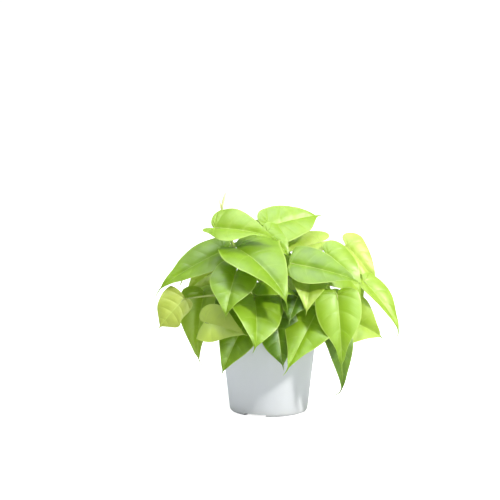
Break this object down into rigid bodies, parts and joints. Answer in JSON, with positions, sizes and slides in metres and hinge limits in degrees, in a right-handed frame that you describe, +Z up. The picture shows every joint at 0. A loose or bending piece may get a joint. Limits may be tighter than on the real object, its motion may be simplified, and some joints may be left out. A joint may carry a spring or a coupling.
{
  "type": "potted heartleaf philodendron",
  "caption": "Compact trailing house plant with lime-green heart-shaped leaves on green stems, rooted in potting soil in a plain white tapered nursery pot.",
  "frame": {"origin": "centre of the pot's underside, on the surface that the pot stands on", "axes": "+Z up along the pot's axis, -Y towards the side seen in the picture, +X to that view's right"},
  "size_m": [0.2913, 0.2135, 0.2665],
  "materials": {
    "pot": "matte",
    "potting_soil": "matte",
    "green_stem": "satin",
    "leaf": "satin",
    "new_shoot": "satin"
  },
  "bodies": {
    "root": {"leaf_back_centre": "leaf", "leaf_back_crown": "leaf", "leaf_back_crown_right": "leaf", "leaf_back_left": "leaf", "leaf_back_left_low": "leaf", "leaf_back_left_upper": "leaf", "leaf_back_low": "leaf", "leaf_back_middle": "leaf", "leaf_back_right": "leaf", "leaf_back_right_low": "leaf", "leaf_back_right_upper": "leaf", "leaf_back_shaded": "leaf", "leaf_back_top": "leaf", "leaf_centre_dark": "leaf", "leaf_centre_hanging": "leaf", "leaf_centre_under": "leaf", "leaf_crown_inner": "leaf", "leaf_crown_left": "leaf", "leaf_crown_right": "leaf", "leaf_crown_shaded": "leaf", "leaf_front_wide": "leaf", "leaf_left_folded": "leaf", "leaf_left_hanging": "leaf", "leaf_left_low": "leaf", "leaf_left_shaded": "leaf", "leaf_left_small": "leaf", "leaf_left_under": "leaf", "leaf_left_wide": "leaf", "leaf_pot_centre": "leaf", "leaf_pot_left": "leaf", "leaf_pot_right": "leaf", "leaf_right_back": "leaf", "leaf_right_far": "leaf", "leaf_right_front": "leaf", "leaf_right_low": "leaf", "leaf_right_pointed": "leaf", "leaf_right_under": "leaf", "leaf_right_upper": "leaf", "leaf_right_wide": "leaf", "leaf_top_centre": "leaf", "leaf_top_left": "leaf", "leaf_top_right": "leaf", "new_shoot": "new_shoot", "pot": "pot", "soil": "potting_soil", "vine_back": "green_stem", "vine_back_left": "green_stem", "vine_front": "green_stem", "vine_front_right": "green_stem", "vine_left": "green_stem", "vine_left_front": "green_stem", "vine_right": "green_stem", "vine_right_back": "green_stem"}
  },
  "joints": []
}
